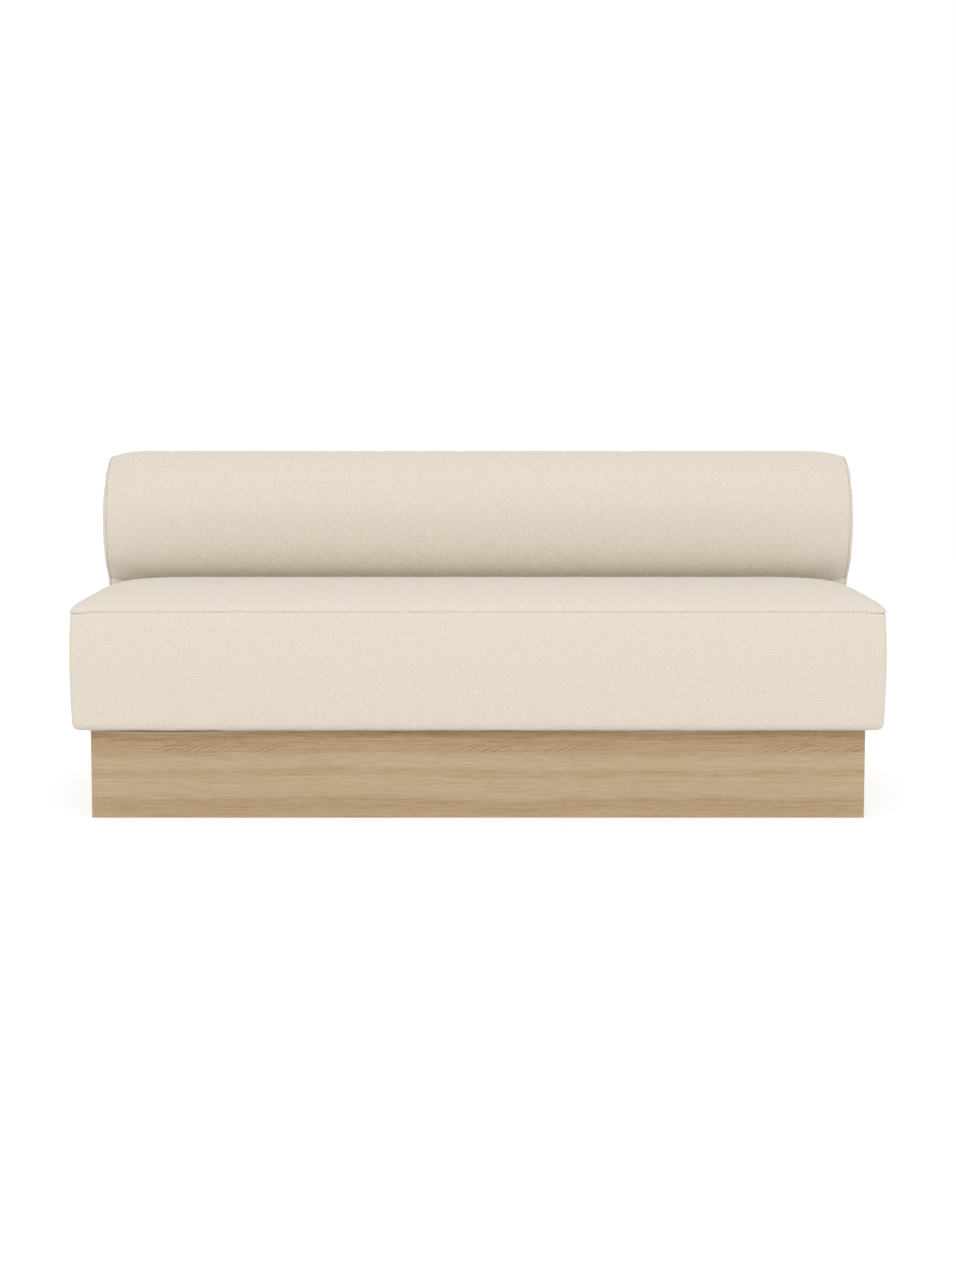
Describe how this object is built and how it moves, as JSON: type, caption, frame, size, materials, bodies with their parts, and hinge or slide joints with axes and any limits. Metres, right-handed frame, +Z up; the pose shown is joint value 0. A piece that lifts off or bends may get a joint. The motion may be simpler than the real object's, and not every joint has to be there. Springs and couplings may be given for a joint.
{
  "type": "dining sofa",
  "caption": "Armless upholstered dining sofa: crowned seat with a sewn top panel, a low roll back with boxed ends, on a recessed wood plinth with levelling feet.",
  "frame": {"origin": "on the floor under the middle of the sofa, at the centre of the bounding box's underside", "axes": "+X to the right along the sofa as seen from the front, +Y to the rear, +Z up; the sofa faces -Y"},
  "size_m": [1.672, 0.7884, 0.734],
  "materials": {
    "cover_cloth": "cream basket-weave upholstery cloth",
    "oak_veneer": "light oak veneer, matt lacquer, grain running along the boards",
    "birch_plywood": "bare birch plywood",
    "softwood": "bare planed softwood",
    "foam": "open-cell upholstery foam",
    "webbing": "woven elastic webbing",
    "dust_cloth": "black non-woven cloth",
    "zinc_steel": "zinc-plated steel",
    "black_nylon": "black moulded nylon"
  },
  "bodies": {
    "sofa": {"back_angle_screws": "zinc_steel", "back_angles": "zinc_steel", "back_base_batten": "softwood", "back_cover_left_end": "cover_cloth", "back_cover_main": "cover_cloth", "back_cover_right_end": "cover_cloth", "back_foam_left_end": "foam", "back_foam_rear": "foam", "back_foam_right_end": "foam", "back_foam_roll": "foam", "back_nose_batten": "softwood", "back_rear_panel": "birch_plywood", "back_rib_inner_left": "birch_plywood", "back_rib_inner_right": "birch_plywood", "back_rib_outer_left": "birch_plywood", "back_rib_outer_right": "birch_plywood", "back_skin": "birch_plywood", "back_top_batten": "softwood", "foot_nuts": "zinc_steel", "plinth_back_board": "oak_veneer", "plinth_back_cleat": "softwood", "plinth_bolts": "zinc_steel", "plinth_corner_blocks": "softwood", "plinth_front_board": "oak_veneer", "plinth_front_cleat": "softwood", "plinth_left_board": "oak_veneer", "plinth_rib_left": "birch_plywood", "plinth_rib_right": "birch_plywood", "plinth_right_board": "oak_veneer", "seat_back_rail": "softwood", "seat_corner_blocks": "softwood", "seat_cover_border": "cover_cloth", "seat_cover_top": "cover_cloth", "seat_cross_rail_centre": "softwood", "seat_cross_rail_left": "softwood", "seat_cross_rail_right": "softwood", "seat_dust_cover": "dust_cloth", "seat_foam_base": "foam", "seat_foam_crown": "foam", "seat_front_rail": "softwood", "seat_left_rail": "softwood", "seat_middle_rail": "softwood", "seat_padding_back": "foam", "seat_padding_front": "foam", "seat_padding_left": "foam", "seat_padding_right": "foam", "seat_right_rail": "softwood", "seat_webbing_crosswise": "webbing", "seat_webbing_lengthwise": "webbing"},
    "pad_front_left": {"foot_pad_front_left": "black_nylon"},
    "stem_front_left": {"foot_stem_front_left": "zinc_steel"},
    "pad_front_right": {"foot_pad_front_right": "black_nylon"},
    "stem_front_right": {"foot_stem_front_right": "zinc_steel"},
    "pad_back_left": {"foot_pad_back_left": "black_nylon"},
    "stem_back_left": {"foot_stem_back_left": "zinc_steel"},
    "pad_back_right": {"foot_pad_back_right": "black_nylon"},
    "stem_back_right": {"foot_stem_back_right": "zinc_steel"}
  },
  "joints": [
    {"name": "foot_travel_front_left", "type": "slide", "parent": "sofa", "child": "pad_front_left", "axis": [0, 0, -1], "range_m": [0, 0.013]},
    {"name": "foot_turn_front_left", "type": "hinge", "parent": "pad_front_left", "child": "stem_front_left", "pos_m": [-0.744, -0.307, 0.004], "axis": [0, 0, -1], "range_deg": [0, 3600]},
    {"name": "foot_travel_front_right", "type": "slide", "parent": "sofa", "child": "pad_front_right", "axis": [0, 0, -1], "range_m": [0, 0.013]},
    {"name": "foot_turn_front_right", "type": "hinge", "parent": "pad_front_right", "child": "stem_front_right", "pos_m": [0.744, -0.307, 0.004], "axis": [0, 0, -1], "range_deg": [0, 3600]},
    {"name": "foot_travel_back_left", "type": "slide", "parent": "sofa", "child": "pad_back_left", "axis": [0, 0, -1], "range_m": [0, 0.013]},
    {"name": "foot_turn_back_left", "type": "hinge", "parent": "pad_back_left", "child": "stem_back_left", "pos_m": [-0.744, 0.307, 0.004], "axis": [0, 0, -1], "range_deg": [0, 3600]},
    {"name": "foot_travel_back_right", "type": "slide", "parent": "sofa", "child": "pad_back_right", "axis": [0, 0, -1], "range_m": [0, 0.013]},
    {"name": "foot_turn_back_right", "type": "hinge", "parent": "pad_back_right", "child": "stem_back_right", "pos_m": [0.744, 0.307, 0.004], "axis": [0, 0, -1], "range_deg": [0, 3600]}
  ],
  "couplings": [
    {"joint": "foot_travel_front_left", "follows": "foot_turn_front_left", "m_per_rad": 0.00019894},
    {"joint": "foot_travel_front_right", "follows": "foot_turn_front_right", "m_per_rad": 0.00019894},
    {"joint": "foot_travel_back_left", "follows": "foot_turn_back_left", "m_per_rad": 0.00019894},
    {"joint": "foot_travel_back_right", "follows": "foot_turn_back_right", "m_per_rad": 0.00019894}
  ]
}
